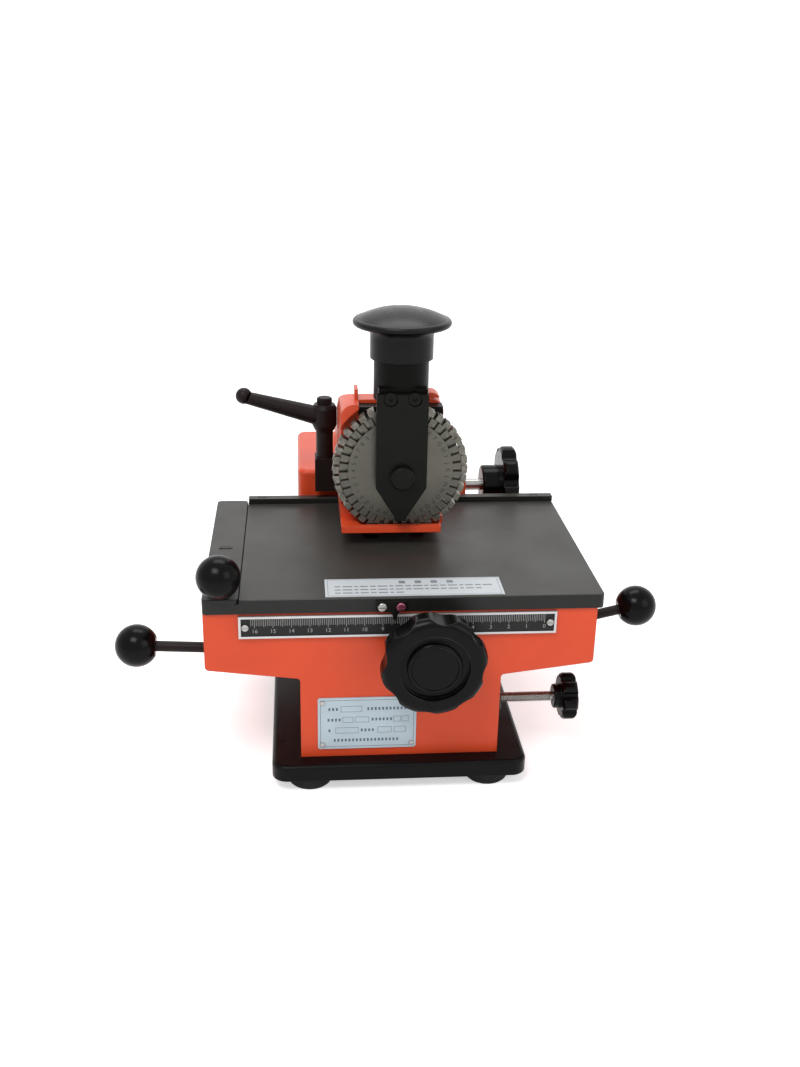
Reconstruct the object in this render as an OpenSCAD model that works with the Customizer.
// Bench embossing machine for metal identity tags, hand operated.
// Millimetres, Z up, X to the right, Y to the back.
// The modules measure X from the middle of the frame, Y from its front face
// and Z from the bench; centre() then moves the middle of the box to X = Y = 0.

/* [Frame] */
// width over the two wings of the cast frame
frame_w = 218; // [210:1:226]
// width of the lower box and of the rear pedestal
box_w = 113.3; // [106:0.1:120]
// depth of the wings, front face to back
wing_d = 156; // [148:0.5:166]
// depth of the lower box, front face to back of the pedestal
frame_d = 250; // [244:1:264]
// height of the flat top of the wings
wing_top = 109.3; // [104:0.1:116]
// height of the pedestal above the wings
pedestal_rise = 27; // [24:0.2:30]
// wall of the casting
wall = 8; // [6:0.5:10]

/* [Base] */
// height of the rubber feet
foot_h = 8; // [6:0.5:11]
// diameter of the rubber feet at the bottom
foot_d = 25; // [20:0.5:27]
// width of the base plate
base_w = 146.4; // [136:0.4:158]
// thickness of the base plate
base_t = 9.6; // [8:0.2:13]

/* [Ruler] */
// length of the ruler frame
ruler_w = 175.6; // [150:0.2:190]
// height of the ruler frame
ruler_h = 13.2; // [11:0.2:15]

/* [Table] */
// width of the sliding table
table_w = 221.5; // [206:0.5:236]
// thickness of the sliding table
table_t = 8.3; // [7:0.1:10]
// where the middle of the table stands in the rest pose
table_x = 1.5; // [-6:0.5:8]
// height of the stop rail along the back edge of the table
rail_h = 3.5; // [2.5:0.5:4.5]

/* [Head] */
// X of the plunger, wheel and hammer
head_x = 3.9; // [2:0.1:5]
// width of the head arm
arm_w = 62; // [60:0.5:72]
// room between the table and the type at rest
type_gap = 6.7; // [5.8:0.1:9]
// thickness of the tag and of the play that is left below the struck type
tag_t = 0.7; // [0.4:0.1:1.2]
// radius over the type heads of the wheel
type_r = 40.3; // [39:0.1:44]
// radius of the wheel rim between the type heads
rim_r = 36.2; // [35.4:0.1:37.2]
// radius of the dial plate on the wheel
dial_r = 31; // [28:0.2:33]
// number of type punches around the wheel
type_count = 40; // [32:2:44]
// diameter of the palm cap
cap_d = 56.8; // [48:0.4:64]
// diameter of the plunger rod
rod_d = 14; // [12:0.5:15]
// stroke of the plunger
stroke = 12; // [9:0.5:12]

/* [Knobs] */
// diameter over the waves of the front hand wheel
wheel_d = 58.8; // [52:0.4:64]
// diameter of the ball knobs on the levers
ball_d = 24; // [20:0.5:27]
// diameter of the lever rods
lever_d = 6; // [5:0.5:7]
// diameter over the lobes of the spacing knob
star_d = 27.6; // [24:0.4:32]
// diameter over the lobes of the height knob at the back
height_knob_d = 54; // [44:0.5:56]

/* [Hidden] */
$fn = 48;
eps = 0.01;
run = 0.05;
fw = frame_w / 2;
bw = box_w / 2;
base_z = foot_h;
box_z = base_z + base_t;
base_front = -10.4;
base_back = frame_d + 12;
foot_x = base_w / 2 - 21.7;
foot_y = [base_front + 15.4, base_back - 16];
bolt_x = bw - wall - 7.65;
bolt_y = [wall + 16, frame_d - wall - 16];
wing_out_z = wing_top - 34.3;
wing_in_z = wing_top - 40.9;
pedestal_y = wing_d + 4;
pedestal_top = wing_top + pedestal_rise;
pocket_z = wing_top - 29.3;
pocket_front = wall - 1;
pocket_back = wing_d - 7;
pocket_x = fw - wall;
rod_x = 40;
guide_z = pocket_z + 8;
guide_d = 10;
screw_x = 15.5;
screw_z = pocket_z + 7.5;
screw_d = 8;
saddle_x = pocket_x - 9;
saddle_y0 = 58;
saddle_y1 = pocket_back - 6;
saddle_z0 = pocket_z + 0.6;
saddle_z1 = wing_top - 0.6;
collar_y = [saddle_y0 + 6.1, saddle_y0 + 15.1];
rack_z = saddle_z1 - 4.3;
pawl_z = rack_z + 3.4;
way_y = (saddle_y0 + saddle_y1) / 2 + 3.5;
slide_w = 40;
way_w = 44;
way_deep = 9;
ruler_x = -2;
ruler_z = wing_top - 7.7;
ruler_screw_x = ruler_w / 2 - 3.6;
plate_x = -19;
plate_w = 56;
plate_h = 33;
plate_z = box_z + 5.4 + plate_h / 2;
rivet_x = [plate_x - plate_w / 2 + 2.6, plate_x + plate_w / 2 - 2.6];
rivet_z = [plate_z - plate_h / 2 + 2.9, plate_z + plate_h / 2 - 2.9];
table_z = wing_top + 0.4;
table_top = table_z + table_t;
table_y0 = -1.5;
table_y1 = wing_d - 3.5;
tx0 = table_x - table_w / 2;
tx1 = table_x + table_w / 2;
strip_w = 20.2;
strip_t = 2.6;
strip_x = tx0 + strip_w / 2 - 0.5;
clamp_y = 27;
strip_screw_y = clamp_y + 43.7;
rail_w = 6;
rail_screw_x = [tx0 + 29.25, table_x + 8.5, tx1 - 12.25];
label_x = table_x + 5.5;
pointer_x = table_x - 8;
pointer_z = table_top - 4.4;
lever_z = wing_top - 27.3;
lever_px = pocket_x + 4;
feed_y = 14;
release_y = 40;
feed_tilt = 3;
release_tilt = 13;
feed_len = 41.6;
release_len = 38.4;
spacing_y = 20;
spacing_z = wing_in_z - 26.2;
spacing_d = 6;
star_x = bw + 35.2;
arm_z = table_top + 9;
axle_z = table_top + type_gap + type_r;
arm_top = axle_z + 37;
arm_y = 85;
wheel_y0 = arm_y - 9.5;
wheel_y1 = arm_y - 0.5;
axle_d = 8;
rim_in = rim_r - 8.8;
punch_in = rim_in - 3.4;
punch_throw = type_gap - tag_t;
punch_w = 2.4;
head_w = 4.3;
tip_z = axle_z - punch_in - punch_throw + stroke;
plunger_y = arm_y - 1;
block_y = arm_y + 3;
block_back = block_y + 9;
block_x0 = head_x - 24.3;
block_x1 = head_x + 25.7;
block_z0 = arm_z + 5;
block_z1 = arm_top - 2;
block_screw_x = [head_x - 18, head_x + 19];
block_screw_z = [axle_z - 24, axle_z + 20];
guide_d_out = 32;
guide_z0 = arm_top + 5;
guide_z1 = guide_z0 + 26;
guide_floor = guide_z0 + 6;
guide_screw_y = block_back + 7;
guide_screw_x = [head_x - 8.6, head_x + 8.6];
cap_top = guide_z1 + 27;
cap_z = guide_z1 - 2.2;
cap_floor = cap_top - 14;
hammer_y0 = arm_y + 1;
hammer_y1 = hammer_y0 + 5;
hammer_w = 24;
rod_z = axle_z + type_r + punch_throw + stroke + 0.5;
throat_r = norm([head_w / 2, plunger_y - wheel_y0 - 0.5]) + 0.3;
bracket_y0 = 63;
bracket_y1 = 67.5;
bracket_z = guide_z0 + 4;
bracket_w = 29.6;
bracket_screw_x = [head_x - 7.4, head_x + 6.4];
shaft_y = pedestal_y + 24;
shaft_z = pedestal_top - 19.3;
lift_max = 1.5;
tongue_w = 36;
tongue_y0 = shaft_y - 12;
tongue_y1 = shaft_y + 12;
knob_x = bw + 13;
lock_x = -arm_w / 2 - 8.1;
lock_y = shaft_y - 32.5;
lock_z = arm_z;
wheel_back = -13;
wheel_h = 15;
hub_r = 15;
hub_cap_r = 12.9;

left_x = lever_px + (feed_len - 10 + ball_d * 0.44) * cos(feed_tilt) + ball_d / 2;
right_x = lever_px + (release_len - 10 + ball_d * 0.44) * cos(release_tilt) + ball_d / 2;
front_y = wheel_back - wheel_h;

// move the middle of the whole machine to X = Y = 0
module centre() {
  translate([(left_x - right_x) / 2, -(front_y + base_back) / 2, 0])
    children();
}

// rounded box, upright corner radius r, top edge rounded by f
module slab(x0, x1, y0, y1, z0, z1, r, f) {
  h = z1 - z0;
  for (cx = [x0 + r, x1 - r])
    for (cy = [y0 + r, y1 - r])
      translate([cx, cy, z0])
        rotate_extrude()
          union() {
            square([r, h - f]);
            square([r - f, h]);
            translate([r - f, h - f])
              circle(r = f, $fn = 24);
          }
  translate([x0 + r, 0, z0])
    rotate([90, 0, 90])
      linear_extrude(x1 - x0 - 2 * r)
        soft_top(y0, y1, h, f);
  translate([0, y1 - r, z0])
    rotate([90, 0, 0])
      linear_extrude(y1 - y0 - 2 * r)
        soft_top(x0, x1, h, f);
}

module soft_top(a, b, h, f) {
  translate([a, 0])
    square([b - a, h - f]);
  translate([a + f, 0])
    square([b - a - 2 * f, h]);
  translate([a + f, h - f])
    circle(r = f, $fn = 24);
  translate([b - f, h - f])
    circle(r = f, $fn = 24);
}

module box(x0, x1, y0, y1, z0, z1) {
  translate([x0, y0, z0])
    cube([x1 - x0, y1 - y0, z1 - z0]);
}

// opening with round corners, centred on X = 0
module opening(half, y0, y1, z0, z1, r) {
  box(-half, half, y0 + r, y1 - r, z0, z1);
  box(-half + r, half - r, y0, y1, z0, z1);
  for (sx = [-1, 1])
    for (fy = [y0 + r, y1 - r])
      translate([sx * (half - r), fy, z0])
        cylinder(r = r, h = z1 - z0, $fn = 32);
}

// solid of revolution with its axis along Y, profile given as radius and depth
module along_y(x, y, z) {
  translate([x, y, z])
    rotate([-90, 0, 0])
      children();
}

module along_x(x, y, z) {
  translate([x, y, z])
    rotate([0, 90, 0])
      children();
}

// puck with rounded edges, lying on z = 0
module puck(r, h, f) {
  rotate_extrude()
    intersection() {
      union() {
        square([r - f, h]);
        translate([0, f])
          square([r, h - 2 * f]);
        translate([r - f, f])
          circle(r = f, $fn = 24);
        translate([r - f, h - f])
          circle(r = f, $fn = 24);
      }
      square([r, h]);
    }
}

// socket head screw, head up, top of the head at z = 0
module socket_screw(head_d, head_h, shank_d, length, key) {
  difference() {
    union() {
      translate([0, 0, -head_h])
        cylinder(d = head_d, h = head_h, $fn = 32);
      translate([0, 0, -head_h - length])
        cylinder(d = shank_d, h = length + eps, $fn = 24);
    }
    translate([0, 0, -head_h * 0.6])
      cylinder(d = key, h = head_h, $fn = 6);
  }
}

// slotted screw with a countersunk head, top at z = 0
module flat_screw(head_d, head_h, shank_d, length) {
  difference() {
    union() {
      translate([0, 0, -head_h])
        cylinder(d1 = shank_d, d2 = head_d, h = head_h, $fn = 32);
      translate([0, 0, -head_h - length])
        cylinder(d = shank_d, h = length + eps, $fn = 24);
    }
    translate([-head_d / 2 - 1, -head_d * 0.08, -head_h * 0.35])
      cube([head_d + 2, head_d * 0.16, head_h]);
  }
}

// slotted screw with a low round head, seat at z = 0
module pan_screw(head_d, head_h, shank_d, length) {
  difference() {
    union() {
      puck(head_d / 2, head_h, head_h * 0.45);
      translate([0, 0, -length])
        cylinder(d = shank_d, h = length + eps, $fn = 24);
    }
    translate([-head_d / 2 - 1, -head_d * 0.08, head_h * 0.55])
      cube([head_d + 2, head_d * 0.16, head_h]);
  }
}

// outline of a knob with n waves, outer diameter d, wave radius lobe, depth deep
module waves(d, n, lobe, deep) {
  ro = d / 2 - lobe;
  k = d / 2 - deep;
  c = cos(180 / n);
  dip = (lobe * lobe - ro * ro - k * k + 2 * ro * k * c) / (2 * (k - ro * c - lobe));
  far = k + dip;
  gap = lobe + dip;
  join_x = ro + (far * c - ro) * lobe / gap;
  join_y = far * sin(180 / n) * lobe / gap;
  difference() {
    union() {
      circle(r = norm([join_x, join_y]) + 0.03, $fn = 96);
      for (i = [0 : n - 1])
        rotate(i * 360 / n)
          translate([ro, 0])
            circle(r = lobe, $fn = 64);
    }
    for (i = [0 : n - 1])
      rotate((i + 0.5) * 360 / n)
        translate([far, 0])
          circle(r = dip + 0.02, $fn = 64);
  }
}

// hand knob with waves round its rim, back face at z = 0, edges turned to radius f
module lobed(d, n, h, lobe, deep, f, start) {
  intersection() {
    rotate([0, 0, start])
      linear_extrude(h)
        waves(d + 0.4, n, lobe, deep + 0.2);
    puck(d / 2, h, f);
  }
}

// ball knob with a neck and a blind bore, bore mouth at z = 0
module ball_knob(d, bore, deep) {
  flat = d * 0.44;
  difference() {
    union() {
      translate([0, 0, flat])
        sphere(d = d);
      cylinder(d = bore + 5, h = 3);
    }
    translate([0, 0, -d])
      cylinder(d = d * 2, h = d);
    translate([0, 0, -1])
      cylinder(d = bore, h = deep + 1, $fn = 32);
  }
}

// helical spring made of one tube, axis along z
module coil(r, wire, turns, length) {
  rings = 8;
  sides = 6;
  count = round(turns * rings);
  points = [for (i = [0 : count]) for (j = [0 : sides - 1])
    let (a = 360 * i / rings, b = 360 * j / sides,
      q = r + wire / 2 * cos(b))
    [q * cos(a), q * sin(a), wire / 2 + (length - wire) * i / count + wire / 2 * sin(b)]];
  wallf = [for (i = [0 : count - 1]) for (j = [0 : sides - 1])
    let (k = (j + 1) % sides)
    [i * sides + j, i * sides + k, (i + 1) * sides + k, (i + 1) * sides + j]];
  ends = [[for (j = [sides - 1 : -1 : 0]) j],
    [for (j = [0 : sides - 1]) count * sides + j]];
  polyhedron(points = points, faces = concat(wallf, ends), convexity = 8);
}

module feet() {
  color([0.07, 0.07, 0.07]) centre()
    for (sx = [-1, 1])
      for (fy = foot_y)
        translate([sx * foot_x, fy, 0])
          difference() {
            rotate_extrude()
              polygon([[0, 0], [foot_d / 2 - 0.9, 0], [foot_d / 2, 0.9],
                [foot_d / 2 + 1.3, foot_h], [0, foot_h]]);
            translate([0, 0, -1])
              cylinder(d = 10, h = foot_h / 2 + 1, $fn = 32);
            cylinder(d = 5.1, h = foot_h + 1, $fn = 24);
          }
}

module foot_screws() {
  color([0.6, 0.6, 0.62]) centre()
    for (sx = [-1, 1])
      for (fy = foot_y)
        translate([sx * foot_x, fy, foot_h / 2])
          rotate([180, 0, 0])
            pan_screw(8.6, 2.6, 5, foot_h / 2 + 5.5);
}

module base_plate() {
  color([0.08, 0.08, 0.09]) centre()
    difference() {
      slab(-base_w / 2, base_w / 2, base_front, base_back, base_z, box_z, 9, 2.4);
      for (sx = [-1, 1])
        for (fy = foot_y)
          translate([sx * foot_x, fy, base_z - 1])
            cylinder(d = 5.06, h = 7, $fn = 24);
      for (sx = [-1, 1])
        for (by = bolt_y)
          translate([sx * bolt_x, by, base_z - 1]) {
            cylinder(d = 10.6, h = 6.4, $fn = 32);
            cylinder(d = 6.3, h = base_t + 2, $fn = 24);
          }
      // access to the inside of the box
      opening(bolt_x - 7, bolt_y[0] + 12, bolt_y[1] - 12, base_z - 1, box_z + 1, 6);
    }
}

module body_screws() {
  color([0.3, 0.3, 0.32]) centre()
    for (sx = [-1, 1])
      for (by = bolt_y)
        translate([sx * bolt_x, by, base_z + 0.4])
          rotate([180, 0, 0])
            socket_screw(10, 5, 6, base_t + 6.4, 5);
}

// front view of the wings and the upper part of the box
module wing_profile() {
  slope = atan((wing_out_z - wing_in_z) / (fw - bw));
  soft = 2.4;
  fill = 2;
  fill_z = wing_in_z + fill * tan(slope) - fill / cos(slope);
  soft_z = wing_out_z - soft * tan(slope) + soft / cos(slope);
  difference() {
    union() {
      polygon([[-fw, wing_top], [fw, wing_top], [fw, wing_out_z], [bw, wing_in_z],
        [bw, wing_in_z - 8], [-bw, wing_in_z - 8], [-bw, wing_in_z], [-fw, wing_out_z]]);
      // fillet between wing and box
      for (s = [0, 1])
        mirror([s, 0])
          difference() {
            polygon([[bw - 1, fill_z], [bw + fill, fill_z],
              [bw + fill - (fill + 1) * sin(slope), fill_z + (fill + 1) * cos(slope)],
              [bw - 1, fill_z + fill + 1]]);
            translate([bw + fill, fill_z])
              circle(r = fill);
          }
    }
    // soft outer corner
    for (s = [0, 1])
      mirror([s, 0])
        difference() {
          polygon([[fw - soft, soft_z], [fw + 1, soft_z], [fw + 1, soft_z - soft - 2],
            [fw - soft + (soft + 2) * sin(slope), soft_z - (soft + 2) * cos(slope)]]);
          translate([fw - soft, soft_z])
            circle(r = soft);
        }
  }
}

module frame() {
  color([0.86, 0.25, 0.07]) centre()
    difference() {
      union() {
        translate([0, wing_d, 0])
          rotate([90, 0, 0])
            linear_extrude(wing_d)
              wing_profile();
        box(-bw, bw, 0, frame_d, box_z, wing_in_z - 2.4);
        box(-bw, bw, 100, frame_d, wing_in_z - 8.4, wing_top);
        slab(-bw, bw, pedestal_y, frame_d, wing_in_z - 8.4, pedestal_top, 6.5, 3);
      }
      // saddle pocket
      box(-pocket_x, pocket_x, pocket_front, pocket_back, pocket_z, wing_top + 1);
      // space inside the box, with a boss in each corner
      difference() {
        box(-bw + wall, bw - wall, wall, frame_d - wall, box_z - 1, pocket_z - 16);
        for (sx = [-1, 1])
          for (by = bolt_y)
            translate([sx * bolt_x, by, box_z - 2])
              cylinder(d = 17, h = 18);
      }
      box(-bw + wall, bw - wall, tongue_y1 + 7, frame_d - wall, pocket_z - 20, pedestal_top - wall);
      // guide for the tongue of the head arm
      box(-tongue_w / 2 - run, tongue_w / 2 + run, tongue_y0 - run, tongue_y1 + run,
        shaft_z - 21, pedestal_top + 1);
      // screws that hold the frame down
      for (s = [-1, 1])
        for (bx = bolt_y)
          translate([s * bolt_x, bx, box_z - 1])
            cylinder(d = 6, h = 14.2, $fn = 24);
      // guide rods and feed screw
      for (s = [-1, 1])
        along_y(s * rod_x, 3, guide_z)
          cylinder(d = guide_d, h = wing_d - 4);
      along_y(screw_x, -1, screw_z)
        cylinder(d = 14, h = pocket_front + 2);
      // slots and pivots of the two ball levers
      for (s = [[-1, feed_y, 0.5], [1, release_y, 1.5]])
        mirror([s[0] < 0 ? 1 : 0, 0, 0]) {
          box(pocket_x - 1, fw + 1, s[1] - 3.6, s[1] + 3.6, lever_z - 4.9, lever_z + 4.9 + s[2]);
          box(pocket_x - 7, pocket_x + 1, s[1] - 3.6, s[1] + 3.6, lever_z - 4.9, lever_z);
          along_y(lever_px, s[1] - 8, lever_z)
            cylinder(d = 4, h = 16, $fn = 24);
        }
      // spacing screw
      along_x(bw - wall - 1, spacing_y, spacing_z)
        cylinder(d = 10, h = wall + 2);
      // height shaft
      along_x(-bw - 1, shaft_y, shaft_z)
        cylinder(d = 8.06, h = box_w + 2, $fn = 32);
      // screw holes on the front face
      for (s = [-1, 1])
        along_y(ruler_x + s * ruler_screw_x, -1, ruler_z)
          cylinder(d = 2.43, h = 6, $fn = 24);
      for (rx = rivet_x)
        for (rz = rivet_z)
          along_y(rx, -1, rz)
            cylinder(d = 2.02, h = 5, $fn = 24);
    }
}

module ruler_bezel() {
  rim = 0.9;
  color([0.75, 0.75, 0.77]) centre()
    difference() {
      box(ruler_x - ruler_w / 2, ruler_x + ruler_w / 2, -2, 0,
        ruler_z - ruler_h / 2, ruler_z + ruler_h / 2);
      box(ruler_x - ruler_w / 2 + rim, ruler_x + ruler_w / 2 - rim, -3, -1,
        ruler_z - ruler_h / 2 + rim, ruler_z + ruler_h / 2 - rim);
      for (s = [-1, 1])
        along_y(ruler_x + s * ruler_screw_x, -3, ruler_z)
          cylinder(d = 2.6, h = 4, $fn = 24);
    }
}

module ruler_scale() {
  inset = 1;
  color([0.03, 0.03, 0.03]) centre()
    difference() {
      box(ruler_x - ruler_w / 2 + inset, ruler_x + ruler_w / 2 - inset, -1.6, -1,
        ruler_z - ruler_h / 2 + inset, ruler_z + ruler_h / 2 - inset);
      for (s = [-1, 1])
        along_y(ruler_x + s * ruler_screw_x, -3, ruler_z)
          cylinder(d = 2.6, h = 4, $fn = 24);
    }
}

module ruler_screws() {
  color([0.8, 0.8, 0.82]) centre()
    for (s = [-1, 1])
      translate([ruler_x + s * ruler_screw_x, -1.6, ruler_z])
        rotate([90, 0, 0])
          pan_screw(4, 1, 2.4, 5.4);
}

module rating_plate() {
  color([0.78, 0.84, 0.88]) centre()
    difference() {
      slab_plate();
      for (rx = rivet_x)
        for (rz = rivet_z)
          along_y(rx, -3, rz)
            cylinder(d = 2.1, h = 4, $fn = 24);
    }
}

module slab_plate() {
  r = 1.5;
  translate([plate_x, 0, plate_z])
    rotate([90, 0, 0])
      linear_extrude(0.8)
        difference() {
          square([plate_w, plate_h], center = true);
          for (sx = [-1, 1])
            for (sz = [-1, 1])
              difference() {
                translate([sx * (plate_w / 2 - 0.75), sz * (plate_h / 2 - 0.75)])
                  square([1.6, 1.6], center = true);
                translate([sx * (plate_w / 2 - r), sz * (plate_h / 2 - r)])
                  circle(r = r, $fn = 24);
              }
        }
}

module plate_rivets() {
  color([0.85, 0.85, 0.86]) centre()
    for (rx = rivet_x)
      for (rz = rivet_z)
        translate([rx, -0.8, rz])
          rotate([90, 0, 0]) {
            puck(1.5, 0.8, 0.36);
            translate([0, 0, -4])
              cylinder(d = 2, h = 4 + eps, $fn = 24);
          }
}

module guide_rods() {
  color([0.7, 0.7, 0.72]) centre()
    for (s = [-1, 1])
      along_y(s * rod_x, 3.2, guide_z)
        cylinder(d = guide_d, h = wing_d - 4.4);
}

module screw_bush() {
  color([0.72, 0.56, 0.3]) centre()
    difference() {
      union() {
        along_y(screw_x, -1.5, screw_z)
          cylinder(d = 14.8, h = 1.5);
        along_y(screw_x, -eps, screw_z)
          cylinder(d = 14, h = pocket_front);
      }
      along_y(screw_x, -3, screw_z)
        cylinder(d = screw_d + 2 * run, h = pocket_front + 6, $fn = 32);
    }
}

module lever_pins() {
  color([0.7, 0.7, 0.72]) centre() {
    along_y(-lever_px, feed_y - 7.9, lever_z)
      cylinder(d = 4, h = 15.8, $fn = 24);
    along_y(lever_px, release_y - 7.9, lever_z)
      cylinder(d = 4, h = 15.8, $fn = 24);
  }
}

module spacing_boss() {
  color([0.12, 0.12, 0.12]) centre()
    difference() {
      union() {
        along_x(bw, spacing_y, spacing_z)
          puck(8, 3.4, 1);
        along_x(bw - wall, spacing_y, spacing_z)
          cylinder(d = 10, h = wall + 1);
      }
      along_x(bw - wall - 1, spacing_y, spacing_z)
        cylinder(d = spacing_d + 2 * run, h = wall + 12, $fn = 32);
    }
}

module dovetail(w, deep, flare) {
  polygon([[-w / 2, deep + 1], [w / 2, deep + 1], [w / 2, deep],
    [w / 2 + flare, 0], [-w / 2 - flare, 0], [-w / 2, deep]]);
}

module saddle() {
  color([0.45, 0.45, 0.47]) centre()
    difference() {
      box(-saddle_x, saddle_x, saddle_y0, saddle_y1, saddle_z0, saddle_z1);
      // way for the table slide
      translate([-saddle_x - 1, way_y, saddle_z1 - way_deep])
        rotate([90, 0, 90])
          linear_extrude(2 * saddle_x + 2)
            dovetail(way_w, way_deep, 4.5);
      // bores for the bushes
      for (s = [-1, 1])
        along_y(s * rod_x, saddle_y0 - 1, guide_z)
          cylinder(d = 14, h = saddle_y1 - saddle_y0 + 2);
      // seat of the feed screw, with a window for the collars
      along_y(screw_x, saddle_y0 - 1, screw_z)
        cylinder(d = screw_d + 2 * run, h = 25, $fn = 32);
      for (cy = collar_y)
        box(screw_x - 8, screw_x + 8, cy - 0.1, cy + 4.9, saddle_z0 - 1, screw_z + 8);
      // channel for the pawl and seat of the rack
      box(-saddle_x - 1, saddle_x + 1, saddle_y0 + 3, saddle_y0 + 26, rack_z, saddle_z1 + 1);
      box(-88, 88, saddle_y0 + 4, saddle_y0 + 10, rack_z - 3, saddle_z1 + 1);
      // lightening windows at both ends
      for (s = [-1, 1])
        box(s * 70 - 15, s * 70 + 15, saddle_y0 + 16, saddle_y1 - 8, saddle_z0 - 1, guide_z + 6);
    }
}

module saddle_bushes() {
  color([0.72, 0.56, 0.3]) centre()
    for (s = [-1, 1])
      for (by = [saddle_y0, saddle_y1 - 20])
        along_y(s * rod_x, by, guide_z)
          difference() {
            cylinder(d = 14, h = 20);
            translate([0, 0, -1])
              cylinder(d = guide_d + 2 * run, h = 22);
          }
}

module ratchet_rack() {
  teeth = 70;
  pitch = 2.5;
  color([0.55, 0.55, 0.57]) centre()
    translate([0, saddle_y0 + 9.9, 0])
      rotate([90, 0, 0])
        linear_extrude(5.8)
          polygon(concat(
            [[88, rack_z - 3], [-88, rack_z - 3], [-88, rack_z]],
            [for (i = [0 : teeth - 1]) each
              [[-87.5 + i * pitch, rack_z], [-87.5 + i * pitch + 0.3, rack_z + 1.4],
               [-87.5 + i * pitch + 0.8, rack_z + 1.4]]],
            [[88, rack_z]]));
}

module hand_wheel() {
  soft = 1.6;
  groove = 3.2;
  face = wheel_back - wheel_h;
  color([0.05, 0.05, 0.05]) centre()
    difference() {
      translate([screw_x, wheel_back, screw_z])
        rotate([90, 0, 0])
          union() {
            lobed(wheel_d, 8, wheel_h, 8.6, 3, 5.4, 14);
            translate([0, 0, -5])
              cylinder(d = 18, h = 6);
          }
      // ring turned into the front face round a hub with a soft edge
      along_y(screw_x, face - 1, screw_z)
        rotate_extrude()
          difference() {
            translate([hub_r - soft, 0])
              square([4.3 + soft, 1 + groove]);
            translate([hub_r - soft, 1 + soft])
              circle(r = soft);
            translate([hub_r - soft - 1, 1 + soft])
              square([soft + 1, groove]);
          }
      // seat of the cap
      along_y(screw_x, face - 1, screw_z)
        cylinder(r = hub_cap_r + 0.05, h = 4.2);
      along_y(screw_x, face - 2, screw_z)
        cylinder(d = screw_d, h = wheel_h + 9, $fn = 32);
    }
}

module wheel_cap() {
  color([0.04, 0.04, 0.04]) centre()
    translate([screw_x, front_y + 3.2, screw_z])
      rotate([90, 0, 0])
        puck(hub_cap_r, 3, 0.5);
}

module feed_screw() {
  tip = front_y + 3.5;
  color([0.68, 0.68, 0.7]) centre()
    along_y(screw_x, tip, screw_z)
      difference() {
        cylinder(d = screw_d, h = saddle_y0 + 24.4 - tip - 0.5, $fn = 48);
        translate([0, 0, -eps])
          cylinder(d = 3, h = 6, $fn = 24);
      }
}

module thrust_collars() {
  color([0.3, 0.3, 0.32]) centre()
    for (cy = collar_y)
      along_y(screw_x, cy, screw_z)
        difference() {
          cylinder(d = 13.6, h = 4.8);
          translate([0, 0, -1])
            cylinder(d = screw_d, h = 8, $fn = 48);
        }
}

module table_plate() {
  color([0.16, 0.16, 0.17]) centre()
    difference() {
      slab(tx0, tx1, table_y0, table_y1, table_z, table_top, 3, 0.8);
      // rebate for the clamp strip
      box(tx0 - 1, tx0 + strip_w, table_y0 - 1, table_y1 + 1, table_top - strip_t, table_top + 1);
      for (sx = [-14, 14])
        for (sy = [-14, 14])
          translate([table_x + sx, way_y + sy, table_z - 1]) {
            cylinder(d = 5.1, h = 20, $fn = 24);
            translate([0, 0, table_t + 1 - 2.4])
              cylinder(d1 = 5.1, d2 = 9.9, h = 2.4 + eps, $fn = 32);
          }
      translate([strip_x, strip_screw_y, table_z - 1])
        cylinder(d = 4.03, h = 20, $fn = 24);
      translate([strip_x, clamp_y, table_z - 1])
        cylinder(d = 6.06, h = 20, $fn = 32);
      for (px = rail_screw_x)
        translate([px, table_y1 - rail_w / 2, table_z + 1])
          cylinder(d = 3.03, h = 20, $fn = 24);
      for (s = [-1, 1])
        along_y(pointer_x + s * 5.1, table_y0 - 1, pointer_z)
          cylinder(d = 2.53, h = 9, $fn = 24);
    }
}

module table_slide() {
  color([0.5, 0.5, 0.52]) centre()
    difference() {
      union() {
        translate([table_x - slide_w / 2, way_y, saddle_z1 - way_deep + run])
          rotate([90, 0, 90])
            linear_extrude(slide_w)
              dovetail(way_w - 0.3, way_deep - run, 4.35);
        box(table_x - slide_w / 2, table_x + slide_w / 2, way_y - way_w / 2 + 2, way_y + way_w / 2 - 2,
          saddle_z1, table_z);
        // ear and pin that carry the pawl
        box(table_x - 5, table_x + 5, saddle_y0 + 11, way_y - 15, pawl_z - 1.4, table_z);
        along_y(table_x, saddle_y0 + 4.4, pawl_z)
          cylinder(d = 1.6, h = 8, $fn = 24);
      }
      for (sx = [-14, 14])
        for (sy = [-14, 14])
          translate([table_x + sx, way_y + sy, saddle_z1 - way_deep + 1.5])
            cylinder(d = 5, h = 20, $fn = 24);
    }
}

module table_screws() {
  color([0.2, 0.2, 0.21]) centre()
    for (sx = [-14, 14])
      for (sy = [-14, 14])
        translate([table_x + sx, way_y + sy, table_top - 0.1])
          flat_screw(9.4, 2.3, 5, 12);
}

module clamp_strip() {
  top = table_top + 0.4;
  color([0.12, 0.12, 0.13]) centre()
    difference() {
      slab(tx0, tx0 + strip_w - 0.4, table_y0, table_y1, table_top - strip_t, top, 2.6, 0.5);
      translate([strip_x, strip_screw_y, table_top - 4]) {
        cylinder(d = 4.2, h = 10, $fn = 24);
        translate([0, 0, 4.4 - 2])
          cylinder(d1 = 4.2, d2 = 8.3, h = 2 + eps, $fn = 32);
      }
      translate([strip_x, clamp_y, table_top - 4])
        cylinder(d = 6.3, h = 10, $fn = 32);
    }
}

module strip_screws() {
  color([0.25, 0.22, 0.2]) centre()
    translate([strip_x, strip_screw_y, table_top + 0.3])
      flat_screw(7.9, 1.9, 4, 6.4);
}

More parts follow.
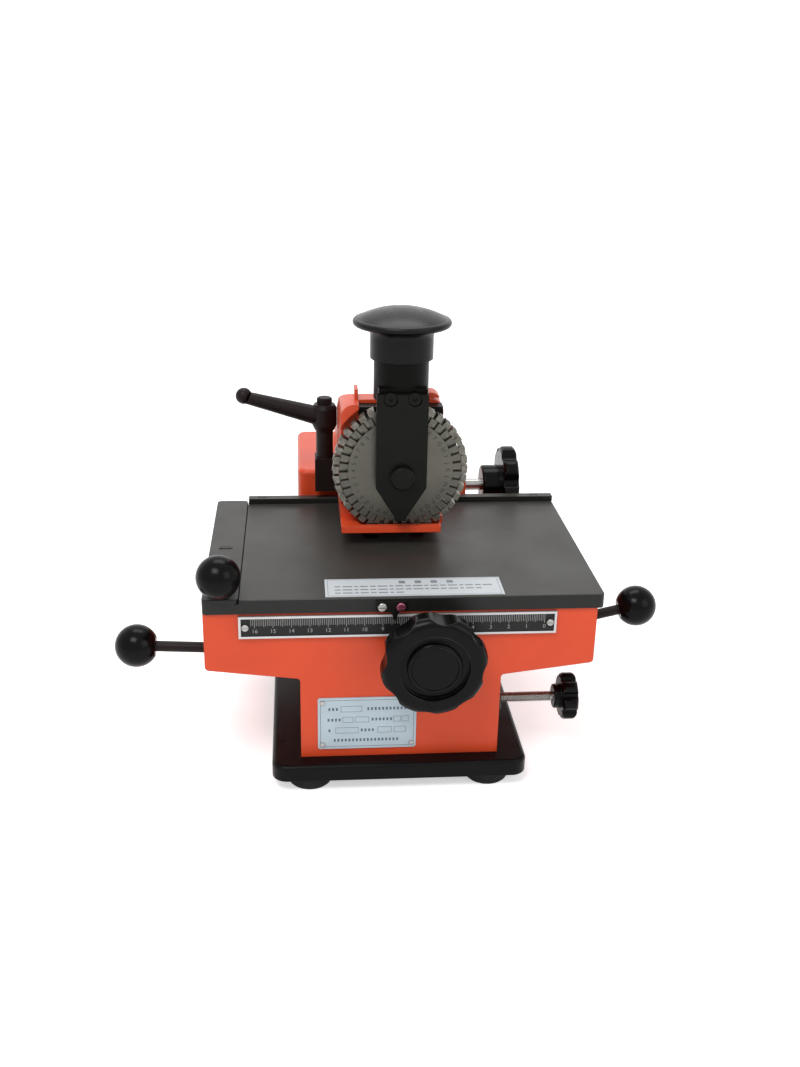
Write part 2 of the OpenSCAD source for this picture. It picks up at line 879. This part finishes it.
module back_rail() {
  color([0.15, 0.15, 0.16]) centre()
    difference() {
      box(tx0 + strip_w + 0.3, tx1, table_y1 - rail_w, table_y1, table_top, table_top + rail_h);
      for (px = rail_screw_x)
        translate([px, table_y1 - rail_w / 2, table_top - 1]) {
          cylinder(d = 3.2, h = 10, $fn = 24);
          translate([0, 0, 1 + rail_h - 1.6])
            cylinder(d1 = 3.2, d2 = 5.6, h = 1.6 + eps, $fn = 24);
        }
    }
}

module rail_screws() {
  color([0.3, 0.3, 0.32]) centre()
    for (px = rail_screw_x)
      translate([px, table_y1 - rail_w / 2, table_top + rail_h - 0.1])
        flat_screw(5.2, 1.5, 3, rail_h + 3);
}

module pointer() {
  tip = [pointer_x + 1.9, ruler_z + 2.6];
  low = pointer_z - 2.8;
  color([0.1, 0.1, 0.1]) centre()
    difference() {
      union() {
        box(pointer_x - 8.5, pointer_x + 8.5, table_y0 - 1.9, table_y0, low, pointer_z + 3);
        translate([0, table_y0 - 0.8, 0])
          rotate([90, 0, 0])
            linear_extrude(1.1)
              polygon([[pointer_x - 8.5, low + 1.2], [pointer_x + 8.5, low + 1.2],
                [pointer_x + 8.5, low], [tip[0] + 2, low - 0.6], tip,
                [tip[0] - 2, low - 0.6], [pointer_x - 8.5, low]]);
      }
      for (s = [-1, 1])
        along_y(pointer_x + s * 5.1, table_y0 - 3.5, pointer_z)
          cylinder(d = 2.7, h = 9, $fn = 24);
    }
}

module pointer_screws() {
  color([0.75, 0.73, 0.7]) centre()
    for (s = [-1, 1])
      translate([pointer_x + s * 5.1, table_y0 - 1.9, pointer_z])
        rotate([90, 0, 0])
          pan_screw(5, 1.6, 2.5, 8.4);
}

module label() {
  color([0.9, 0.93, 0.93]) centre()
    box(label_x - 49.4, label_x + 49.4, table_y0 + 2.1, table_y0 + 25.1, table_top, table_top + 0.3);
}

module clamp_lever() {
  color([0.06, 0.06, 0.06]) centre() {
    translate([strip_x, clamp_y, table_top + 0.4])
      puck(7.4, 9.6, 1.4);
    translate([strip_x, clamp_y, table_z + 0.5])
      cylinder(d = 6, h = table_t, $fn = 32);
    translate([strip_x, clamp_y - 4, table_top + 5.4])
      rotate([71.5, 0, 0])
        cylinder(d = lever_d, h = 22.6, $fn = 32);
  }
}

module clamp_ball() {
  color([0.03, 0.03, 0.03]) centre()
    translate([strip_x, clamp_y - 4, table_top + 5.4])
      rotate([71.5, 0, 0])
        translate([0, 0, 13.4])
          ball_knob(24.2, lever_d, 9.2);
}

module feed_pawl() {
  color([0.6, 0.6, 0.62]) centre()
    difference() {
      translate([table_x, saddle_y0 + 9.8, pawl_z])
        rotate([90, 0, 0])
          linear_extrude(5)
            union() {
              circle(r = 1.6, $fn = 32);
              polygon([[0, 1.5], [-9.6, 0.2], [-10, -2.1], [-9.3, -2.1], [-8.4, -1.1], [0, -1.5]]);
            }
      along_y(table_x, saddle_y0, pawl_z)
        cylinder(d = 1.6 + 2 * run, h = 20, $fn = 24);
    }
}

module lever(length, finger) {
  // pivot eye, rod outwards along +x, finger inwards
  difference() {
    union() {
      rotate([90, 0, 0])
        translate([0, 0, -3.4])
          cylinder(d = 9, h = 6.8, $fn = 32);
      rotate([0, 90, 0])
        cylinder(d = lever_d, h = length, $fn = 32);
      translate([-finger, -2.6, -1.6])
        cube([finger, 5.2, 3.2]);
    }
    rotate([90, 0, 0])
      translate([0, 0, -5])
        cylinder(d = 4 + 2 * run, h = 10, $fn = 24);
  }
}

module feed_lever() {
  color([0.08, 0.08, 0.08]) centre()
    translate([-lever_px, feed_y, lever_z])
      rotate([0, feed_tilt, 0])
        mirror([1, 0, 0])
          lever(feed_len, 9);
}

module feed_ball() {
  color([0.03, 0.03, 0.03]) centre()
    translate([-lever_px, feed_y, lever_z])
      rotate([0, feed_tilt, 0])
        mirror([1, 0, 0])
          translate([feed_len - 10, 0, 0])
            rotate([0, 90, 0])
              ball_knob(ball_d, lever_d, 10);
}

module release_lever() {
  color([0.08, 0.08, 0.08]) centre()
    translate([lever_px, release_y, lever_z])
      rotate([0, -release_tilt, 0])
        lever(release_len, 9);
}

module release_ball() {
  color([0.03, 0.03, 0.03]) centre()
    translate([lever_px, release_y, lever_z])
      rotate([0, -release_tilt, 0])
        translate([release_len - 10, 0, 0])
          rotate([0, 90, 0])
            ball_knob(ball_d, lever_d, 10);
}

module spacing_screw() {
  color([0.66, 0.66, 0.68]) centre()
    along_x(8, spacing_y, spacing_z)
      cylinder(d = spacing_d, h = star_x + 0.2, $fn = 32);
}

module spacing_knob() {
  hub = 5.2;
  color([0.04, 0.04, 0.04]) centre()
    along_x(star_x, spacing_y, spacing_z)
      difference() {
        union() {
          translate([0, 0, hub - 1])
            lobed(star_d, 7, 9, 3.7, 3.2, 2.4, 10);
          puck(7.2, hub + 1, 1);
        }
        translate([0, 0, -1])
          cylinder(d = spacing_d, h = 9.4, $fn = 32);
      }
}

module spacing_nut() {
  color([0.5, 0.5, 0.52]) centre()
    difference() {
      box(14, 26, wall + 0.05, spacing_y + 9, spacing_z - 8.5, spacing_z + 8.5);
      along_x(12, spacing_y, spacing_z)
        cylinder(d = spacing_d + 2 * run, h = 20, $fn = 32);
    }
}

// side view of the head arm, Y to the right and Z up
module arm_profile() {
  back = shaft_y + 36;
  flat = 110;
  r = 400;
  back_z = pedestal_top + 2.7;
  dx = back - flat;
  dz = arm_top - back_z;
  half = norm([dx, dz]) / 2;
  far = sqrt(r * r - half * half);
  cx = (flat + back) / 2 - far * dz / (2 * half);
  cz = (arm_top + back_z) / 2 - far * dx / (2 * half);
  difference() {
    union() {
      translate([arm_y, arm_z])
        square([pedestal_y - 0.5 - arm_y, arm_top - arm_z]);
      translate([pedestal_y - 10, pedestal_top])
        square([back - pedestal_y + 10, arm_top - pedestal_top]);
    }
    // top falls away to the back in a long curve
    difference() {
      translate([flat, back_z - 1])
        square([back - flat + 1, arm_top - back_z + 2]);
      translate([cx, cz])
        circle(r = r, $fn = 360);
    }
  }
}

module head_arm() {
  aw = arm_w / 2;
  shoulder = 7.4;
  color([0.88, 0.27, 0.08]) centre()
    difference() {
      union() {
        translate([-aw, 0, 0])
          rotate([90, 0, 90])
            linear_extrude(arm_w)
              arm_profile();
        // tongue in the pedestal
        box(-tongue_w / 2, tongue_w / 2, tongue_y0, tongue_y1, shaft_z - 17, pedestal_top + 1);
        // jaw below the wheel
        box(-aw, aw - 2.5, wheel_y0 - 4.5, arm_y + 5, arm_z, arm_z + 4.2);
        // cast lug left of the plunger guide
        box(block_x0 - 2, block_x0, block_back + 0.5, block_back + 12, arm_top - 2, arm_top + 6);
        // round hump right of it
        along_y(block_x1 - 6.2, block_back + 0.5, arm_top - 2)
          cylinder(r = 6, h = 11.5);
      }
      // rounded shoulders along both edges
      for (s = [0, 1])
        mirror([s, 0, 0])
          translate([-aw, 60, 0])
            rotate([-90, 0, 0])
              linear_extrude(200)
                difference() {
                  translate([-1, -arm_top - 1])
                    square([shoulder + 1, shoulder + 1]);
                  translate([shoulder, -arm_top + shoulder])
                    circle(r = shoulder, $fn = 48);
                }
      // seat of the head block
      box(block_x0, aw + 1, 60, block_back, block_z0, arm_top + 7);
      // room for the type wheel
      along_y(head_x, wheel_y0 - 0.9, axle_z)
        cylinder(r = type_r + 1.6, h = 14, $fn = 96);
      // bores of the wheel axle and of the screws in the head block
      along_y(head_x, block_back - 1, axle_z)
        cylinder(d = axle_d + 0.02, h = 5, $fn = 32);
      for (sx = block_screw_x)
        for (sz = block_screw_z)
          along_y(sx, block_back - 1, sz)
            cylinder(d = 5, h = 14, $fn = 24);
      for (sx = guide_screw_x)
        translate([sx, guide_screw_y, arm_top - 9])
          cylinder(d = 4.03, h = 10, $fn = 24);
      // slot for the eccentric
      box(-tongue_w / 2 - 1, tongue_w / 2 + 1, shaft_y - 9, shaft_y + 9, shaft_z - 4.4 - lift_max, shaft_z + 5.35);
    }
}

module head_block() {
  color([0.07, 0.07, 0.07]) centre()
    difference() {
      box(block_x0, block_x1, block_y, block_back, block_z0, block_z1);
      // guide groove of the hammer
      box(head_x - hammer_w / 2 - run, head_x + hammer_w / 2 + run, block_y - 1, hammer_y1 + run,
        block_z0 - 1, block_z1 + 1);
      along_y(head_x, block_y - 1, axle_z)
        cylinder(d = axle_d, h = 14, $fn = 32);
      for (sx = block_screw_x)
        for (sz = block_screw_z)
          along_y(sx, block_y - 1, sz) {
            cylinder(d = 5.2, h = 30, $fn = 24);
            cylinder(d = 9, h = 6.6, $fn = 32);
          }
    }
}

module block_screws() {
  color([0.28, 0.28, 0.3]) centre()
    for (sx = block_screw_x)
      for (sz = block_screw_z)
        translate([sx, block_y + 0.6, sz])
          rotate([90, 0, 0])
            socket_screw(8.4, 5, 5, 15.4, 4);
}

module plunger_guide() {
  foot_half = 13;
  color([0.09, 0.09, 0.09]) centre()
    difference() {
      union() {
        translate([head_x, plunger_y, guide_z0])
          cylinder(d = guide_d_out, h = guide_z1 - guide_z0, $fn = 64);
        // foot on the head arm
        box(head_x - foot_half, head_x + foot_half, block_back + 0.4, block_back + 12.6, arm_top, guide_z0 + 4.5);
        box(head_x - foot_half, head_x + foot_half, block_y + 0.2, block_back + 1, guide_z0 - 2, guide_z0 + 4.5);
        // pad for the axle bracket
        box(head_x - 14, head_x + 14, bracket_y1, 78, guide_z0, guide_z0 + 9);
      }
      translate([head_x, plunger_y, guide_z0 - 10])
        cylinder(r = throat_r, h = 60, $fn = 64);
      translate([head_x, plunger_y, guide_floor])
        cylinder(d = 24, h = 60, $fn = 64);
      // room for the blade of the hammer
      box(head_x - hammer_w / 2 - 0.4, head_x + hammer_w / 2 + 0.4, hammer_y0 - 0.3, hammer_y1 + 0.3,
        guide_z0 - 7, guide_z0 + 0.3);
      for (sx = guide_screw_x)
        translate([sx, guide_screw_y, arm_top - 2]) {
          cylinder(d = 4.2, h = 20, $fn = 24);
          translate([0, 0, 6.5])
            cylinder(d = 7.6, h = 10, $fn = 32);
        }
      for (sx = bracket_screw_x)
        along_y(sx, bracket_y1 - 1, bracket_z)
          cylinder(d = 4.03, h = 8.2, $fn = 24);
    }
}

module guide_screws() {
  color([0.3, 0.3, 0.32]) centre()
    for (sx = guide_screw_x)
      translate([sx, guide_screw_y, arm_top + 8.4])
        socket_screw(7, 3.9, 4, 12.6, 3);
}

module axle_bracket() {
  half = bracket_w / 2;
  mid = head_x - 0.5;
  low = axle_z - 27.4;
  color([0.07, 0.07, 0.07]) centre()
    difference() {
      union() {
        translate([mid, bracket_y1, 0])
          rotate([90, 0, 0])
            linear_extrude(bracket_y1 - bracket_y0)
              polygon([[-half, bracket_z + 2.8], [half, bracket_z + 2.8], [half, axle_z - 7],
                [3.4, low + 2], [3.4, low], [-3.4, low], [-3.4, low + 2], [-half, axle_z - 7]]);
        along_y(head_x - 0.2, bracket_y1 - eps, axle_z)
          cylinder(d = axle_d + 4, h = 5);
      }
      along_y(head_x, bracket_y0 - 1, axle_z)
        cylinder(d = axle_d, h = 20, $fn = 32);
      for (sx = bracket_screw_x)
        along_y(sx, bracket_y0 - 1, bracket_z) {
          cylinder(d = 4.2, h = 20, $fn = 24);
          cylinder(d = 8.2, h = 3.8, $fn = 32);
        }
    }
}

module bracket_screws() {
  color([0.1, 0.1, 0.1]) centre()
    for (sx = bracket_screw_x)
      translate([sx, bracket_y0 + 0.9, bracket_z])
        rotate([90, 0, 0])
          socket_screw(7.4, 1.9, 4, 8.8, 3);
}

module wheel_axle() {
  color([0.1, 0.1, 0.1]) centre() {
    along_y(head_x, bracket_y0 - 5, axle_z)
      puck(7, 5, 1.2);
    along_y(head_x, bracket_y0 - 0.5, axle_z)
      cylinder(d = axle_d, h = block_back + 3.6 - bracket_y0, $fn = 32);
  }
}

module lock_block() {
  color([0.1, 0.09, 0.09]) centre()
    difference() {
      union() {
        box(lock_x - 6.3, -arm_w / 2, lock_y - 6.5, lock_y + 7.3, lock_z, lock_z + 22);
        translate([lock_x, lock_y, lock_z + 22 - eps])
          cylinder(d = 11, h = 18);
      }
      translate([lock_x, lock_y, lock_z - 1])
        cylinder(d = 6.1, h = 60, $fn = 32);
    }
}

module lock_lever() {
  hub_z = lock_z + 40.2;
  color([0.1, 0.08, 0.08]) centre() {
    difference() {
      union() {
        translate([lock_x, lock_y, hub_z])
          rotate_extrude()
            polygon([[0, 0], [6.3, 0], [7.9, 3.4], [7.9, 14.6], [6.6, 17], [0, 17]]);
        // arm of the lever, rising to the left
        translate([lock_x - 3, lock_y, hub_z + 8.8])
          rotate([0, -75, 0])
            cylinder(d1 = 12.4, d2 = 8, h = 48);
        translate([lock_x - 51.1, lock_y, hub_z + 22.4])
          sphere(d = 10.4, $fn = 32);
      }
      translate([lock_x, lock_y, hub_z + 12.8])
        cylinder(d = 6.4, h = 10, $fn = 32);
    }
    translate([lock_x, lock_y, lock_z + 3])
      cylinder(d = 6, h = 40, $fn = 32);
    translate([lock_x, lock_y, hub_z + 12.8])
      puck(4.6, 8.6, 0.8);
  }
}

module height_shaft() {
  color([0.7, 0.7, 0.72]) centre() {
    along_x(-bw + 1, shaft_y, shaft_z)
      cylinder(d = 8, h = knob_x + 19 + bw - 1);
    along_x(-17, shaft_y + lift_max, shaft_z)
      cylinder(d = 10, h = 34);
  }
}

module height_knob() {
  hub = 13.6;
  color([0.04, 0.04, 0.04]) centre()
    along_x(knob_x, shaft_y, shaft_z)
      difference() {
        union() {
          translate([0, 0, hub - 1])
            lobed(height_knob_d, 8, 10.4, 7, 4.6, 3.2, 0);
          puck(13.4, hub + 1, 1.6);
        }
        translate([0, 0, -1])
          cylinder(d = 8, h = 20.2);
      }
}

module punch_body(low = punch_in) {
  half = punch_w / 2;
  // body in its slot
  translate([-half, 2.4, low])
    cube([punch_w, 4, type_r - 2.5 - low]);
  // head with the raised type
  translate([-head_w / 2, 0.4, rim_r + 0.3])
    cube([head_w, 8.2, type_r - 0.5 - rim_r - 0.3]);
  translate([-1, 2.8, type_r - 0.5 - eps])
    cube([2, 3.2, 0.5]);
}

module type_wheel() {
  half = punch_w / 2 + 0.1;
  color([0.55, 0.55, 0.56]) centre()
    difference() {
      union() {
        along_y(head_x, wheel_y0, axle_z)
          difference() {
            cylinder(r = rim_r, h = wheel_y1 - wheel_y0, $fn = 96);
            translate([0, 0, 3])
              cylinder(r = rim_in, h = 20, $fn = 96);
          }
        along_y(head_x, wheel_y0 - 2.4, axle_z)
          cylinder(d = axle_d + 9, h = 11.2);
      }
      along_y(head_x, wheel_y0 - 10, axle_z)
        cylinder(d = axle_d + 2 * run, h = 30, $fn = 32);
      for (i = [0 : type_count - 1])
        translate([head_x, wheel_y0, axle_z])
          rotate([0, i * 360 / type_count, 0])
            translate([-half, -1, punch_in - 0.4])
              cube([2 * half, 7.6, 30]);
    }
}

module dial_plate() {
  color([0.62, 0.63, 0.62]) centre()
    difference() {
      along_y(head_x, wheel_y0 - 1, axle_z)
        cylinder(r = dial_r, h = 1, $fn = 96);
      along_y(head_x, wheel_y0 - 5, axle_z)
        cylinder(d = axle_d + 9 + 2 * run, h = 20);
    }
}

module type_punches() {
  color([0.78, 0.78, 0.79]) centre()
    for (i = [0 : type_count - 1])
      if (i != type_count / 2)
        translate([head_x, wheel_y0 + 0.1, axle_z])
          rotate([0, i * 360 / type_count, 0])
            // the space opposite the struck punch has a short tail that the hammer misses
            punch_body(i == 0 ? punch_in + punch_throw + 0.4 : punch_in);
}

module active_punch() {
  color([0.8, 0.8, 0.81]) centre()
    translate([head_x, wheel_y0 + 0.1, axle_z])
      rotate([0, 180, 0])
        punch_body();
}

module palm_cap() {
  skirt = guide_d_out / 2 + 2.3;
  color([0.05, 0.05, 0.05]) centre()
    translate([head_x, plunger_y, 0])
      difference() {
        rotate_extrude($fn = 64)
          union() {
            // dome
            intersection() {
              translate([0, cap_top - 56])
                circle(r = 56, $fn = 180);
              translate([0, cap_top - 8])
                square([cap_d / 2 - 1.2, 10]);
            }
            translate([0, cap_top - 10.6])
              square([cap_d / 2 - 2.2, 4]);
            translate([cap_d / 2 - 2.1, cap_top - 8.6])
              circle(r = 2.1, $fn = 32);
            // neck
            difference() {
              translate([0, cap_top - 17])
                square([skirt + 6.7, 8]);
              translate([skirt + 6.7, cap_top - 16.5])
                circle(r = 6.7, $fn = 48);
            }
            translate([0, cap_z])
              square([skirt, 14]);
          }
        translate([0, 0, cap_z - 1])
          cylinder(d = guide_d_out + 1, h = cap_floor - cap_z + 1, $fn = 64);
        translate([0, 0, cap_floor - 1])
          cylinder(d = 8, h = 9.4, $fn = 32);
      }
}

module hammer() {
  tip_y = wheel_y0 + 3.7;
  color([0.6, 0.6, 0.62]) centre()
    difference() {
      union() {
        translate([head_x, plunger_y, rod_z])
          cylinder(d = rod_d, h = cap_floor - rod_z, $fn = 64);
        translate([head_x, plunger_y, cap_floor - 1])
          cylinder(d = 8, h = 9.2, $fn = 32);
        box(head_x - 4.4, head_x + 4.4, hammer_y0, hammer_y1 - 0.9, guide_z0 - 2, rod_z + 3);
        box(head_x - hammer_w / 2, head_x + hammer_w / 2, hammer_y0, hammer_y1,
          axle_z - 12, guide_z0 - 0.6);
        // foot that reaches into the wheel, with the striking tip
        box(head_x - 2.5, head_x + 2.5, tip_y, hammer_y1, tip_z + 5.6, tip_z + 8.6);
        box(head_x - 1.2, head_x + 1.2, tip_y, wheel_y0 + 6.4, tip_z, tip_z + 6);
      }
      // slot that straddles the axle
      box(head_x - 4.6, head_x + 4.6, hammer_y0 - 1, hammer_y1 + 1, axle_z - 4.8, axle_z + 4.8 + stroke);
    }
}

module return_spring() {
  color([0.7, 0.7, 0.72]) centre()
    translate([head_x, plunger_y, guide_floor + 0.1])
      coil(9.6, 1.8, 6, cap_floor - guide_floor - 0.2);
}

feet();
foot_screws();
base_plate();
body_screws();
frame();
ruler_bezel();
ruler_scale();
ruler_screws();
rating_plate();
plate_rivets();
guide_rods();
screw_bush();
lever_pins();
spacing_boss();
saddle();
saddle_bushes();
ratchet_rack();
hand_wheel();
wheel_cap();
feed_screw();
thrust_collars();
table_plate();
table_slide();
table_screws();
clamp_strip();
strip_screws();
back_rail();
rail_screws();
pointer();
pointer_screws();
label();
clamp_lever();
clamp_ball();
feed_pawl();
feed_lever();
feed_ball();
release_lever();
release_ball();
spacing_screw();
spacing_knob();
spacing_nut();
head_arm();
head_block();
block_screws();
plunger_guide();
guide_screws();
axle_bracket();
bracket_screws();
wheel_axle();
lock_block();
lock_lever();
height_shaft();
height_knob();
type_wheel();
type_punches();
active_punch();
dial_plate();
palm_cap();
hammer();
return_spring();
